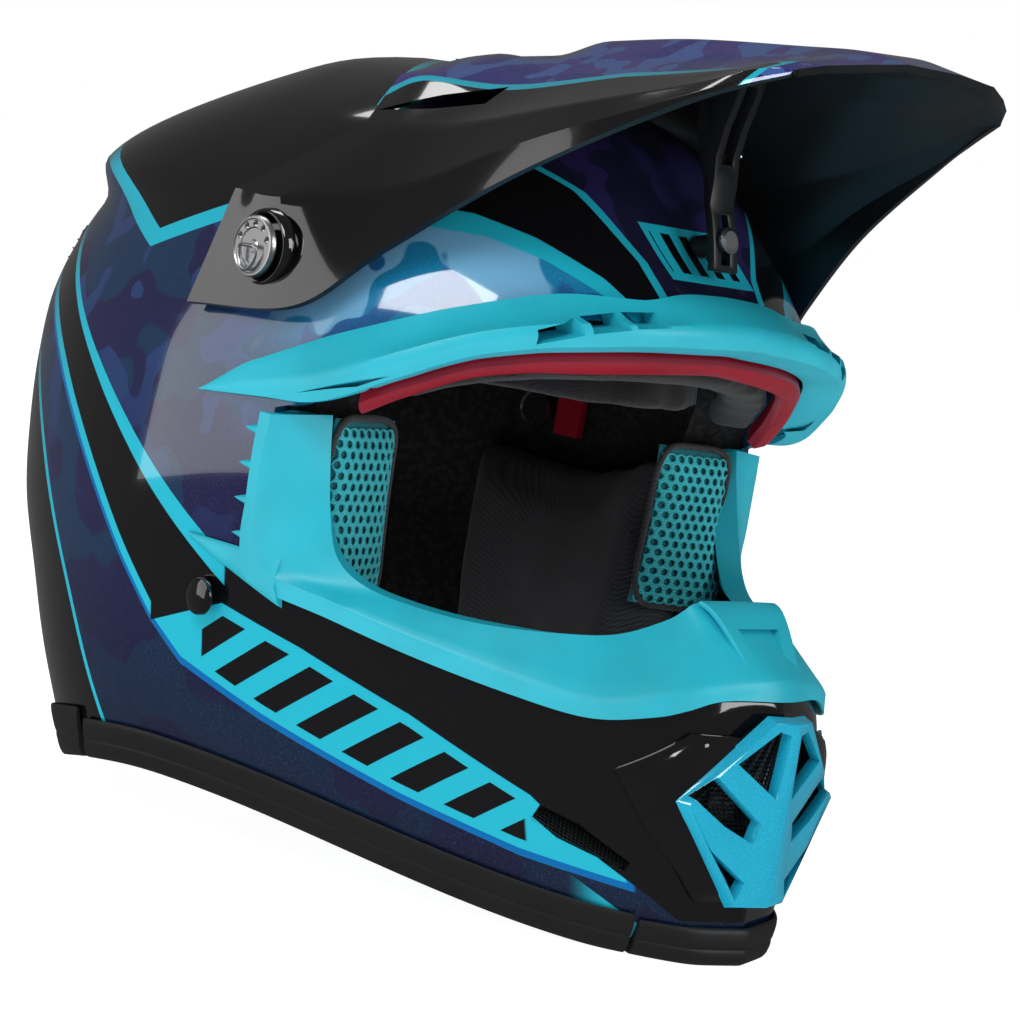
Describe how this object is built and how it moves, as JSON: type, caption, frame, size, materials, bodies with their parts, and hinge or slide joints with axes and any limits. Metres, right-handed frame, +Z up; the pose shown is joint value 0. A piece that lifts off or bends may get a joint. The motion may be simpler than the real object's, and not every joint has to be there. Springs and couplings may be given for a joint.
{
  "type": "motocross helmet",
  "caption": "Full-face off-road helmet with a long chin bar, wide eye port, tilting peak, removable cheek pads and a strap with rings.",
  "frame": {"origin": "middle of the overall box, on the plane that the lower rim rests on", "axes": "-Y out of the face opening, +X to the wearer's left, +Z up"},
  "size_m": [0.2544, 0.3579, 0.2928],
  "materials": {
    "shell_paint": "gloss paint in black, navy, purple and cyan",
    "black_gloss": "gloss black",
    "black_plastic": "satin black",
    "rim_rubber": "satin black",
    "foam": "matt expanded foam",
    "pad_fabric": "brushed charcoal knit",
    "webbing": "woven black",
    "cyan_plastic": "satin cyan",
    "cyan_gloss": "gloss cyan",
    "spacer_mesh": "open knitted cyan",
    "vent_mesh": "black wire cloth",
    "red_plastic": "satin red",
    "steel": "brushed"
  },
  "bodies": {
    "helmet": {"brow_guard": "red_plastic", "brow_pad": "pad_fabric", "brow_trim": "cyan_plastic", "chin_bar_liner": "foam", "chin_rim_trim": "rim_rubber", "chin_strap_left": "webbing", "chin_strap_right": "webbing", "chin_vent_mesh_left": "vent_mesh", "chin_vent_mesh_right": "vent_mesh", "crown_comfort_liner": "pad_fabric", "eps_liner": "foam", "face_opening_frame": "cyan_plastic", "mouth_housing": "black_gloss", "mouth_vent_bezel": "cyan_gloss", "mouth_vent_mesh": "vent_mesh", "neck_rim_trim": "rim_rubber", "neck_roll": "pad_fabric", "outer_shell": "shell_paint", "pad_magnet_left": "steel", "pad_magnet_right": "steel", "pivot_boss_left": "black_plastic", "pivot_boss_right": "black_plastic", "rear_exhaust_left": "black_plastic", "rear_exhaust_right": "black_plastic", "release_tab_left": "red_plastic", "release_tab_right": "red_plastic", "side_rim_trim_left": "rim_rubber", "side_rim_trim_right": "rim_rubber", "strap_hanger_left": "steel", "strap_hanger_right": "steel", "strap_rivet_cap_left": "black_plastic", "strap_rivet_cap_right": "black_plastic", "visor_centre_boss": "black_plastic", "visor_centre_screw": "steel"},
    "visor": {"visor": "black_gloss", "visor_centre_post": "black_gloss"},
    "screw_left": {"visor_screw_left": "steel"},
    "screw_right": {"visor_screw_right": "steel"},
    "handle_left": {"screw_handle_left": "steel"},
    "handle_right": {"screw_handle_right": "steel"},
    "cheek_left": {"cheek_pad_left": "pad_fabric", "cheek_mesh_left": "spacer_mesh"},
    "cheek_right": {"cheek_pad_right": "pad_fabric", "cheek_mesh_right": "spacer_mesh"},
    "rings": {"d_ring_1": "steel", "d_ring_2": "steel"}
  },
  "joints": [
    {"name": "visor_tilt", "type": "hinge", "parent": "helmet", "child": "visor", "pos_m": [0, -0.009, 0.2], "axis": [1, 0, 0], "range_deg": [-3, 4]},
    {"name": "screw_left_turn", "type": "hinge", "parent": "helmet", "child": "screw_left", "pos_m": [0.118, -0.009, 0.2], "axis": [1, 0, 0], "continuous": true},
    {"name": "screw_right_turn", "type": "hinge", "parent": "helmet", "child": "screw_right", "pos_m": [-0.118, -0.009, 0.2], "axis": [-1, 0, 0], "continuous": true},
    {"name": "handle_left_fold", "type": "hinge", "parent": "screw_left", "child": "handle_left", "pos_m": [0.1253, -0.009, 0.2], "axis": [0, -1, 0], "range_deg": [0, 90]},
    {"name": "handle_right_fold", "type": "hinge", "parent": "screw_right", "child": "handle_right", "pos_m": [-0.1253, -0.009, 0.2], "axis": [0, 1, 0], "range_deg": [0, 90]},
    {"name": "cheek_left_pull", "type": "slide", "parent": "helmet", "child": "cheek_left", "axis": [-0.5011, -0.15, -0.8523], "range_m": [0, 0.06]},
    {"name": "cheek_right_pull", "type": "slide", "parent": "helmet", "child": "cheek_right", "axis": [0.5011, -0.15, -0.8523], "range_m": [0, 0.06]},
    {"name": "rings_swing", "type": "hinge", "parent": "helmet", "child": "rings", "pos_m": [0.08836, -0.008, 0.0205], "axis": [0, 1, 0], "range_deg": [0, 38]}
  ]
}
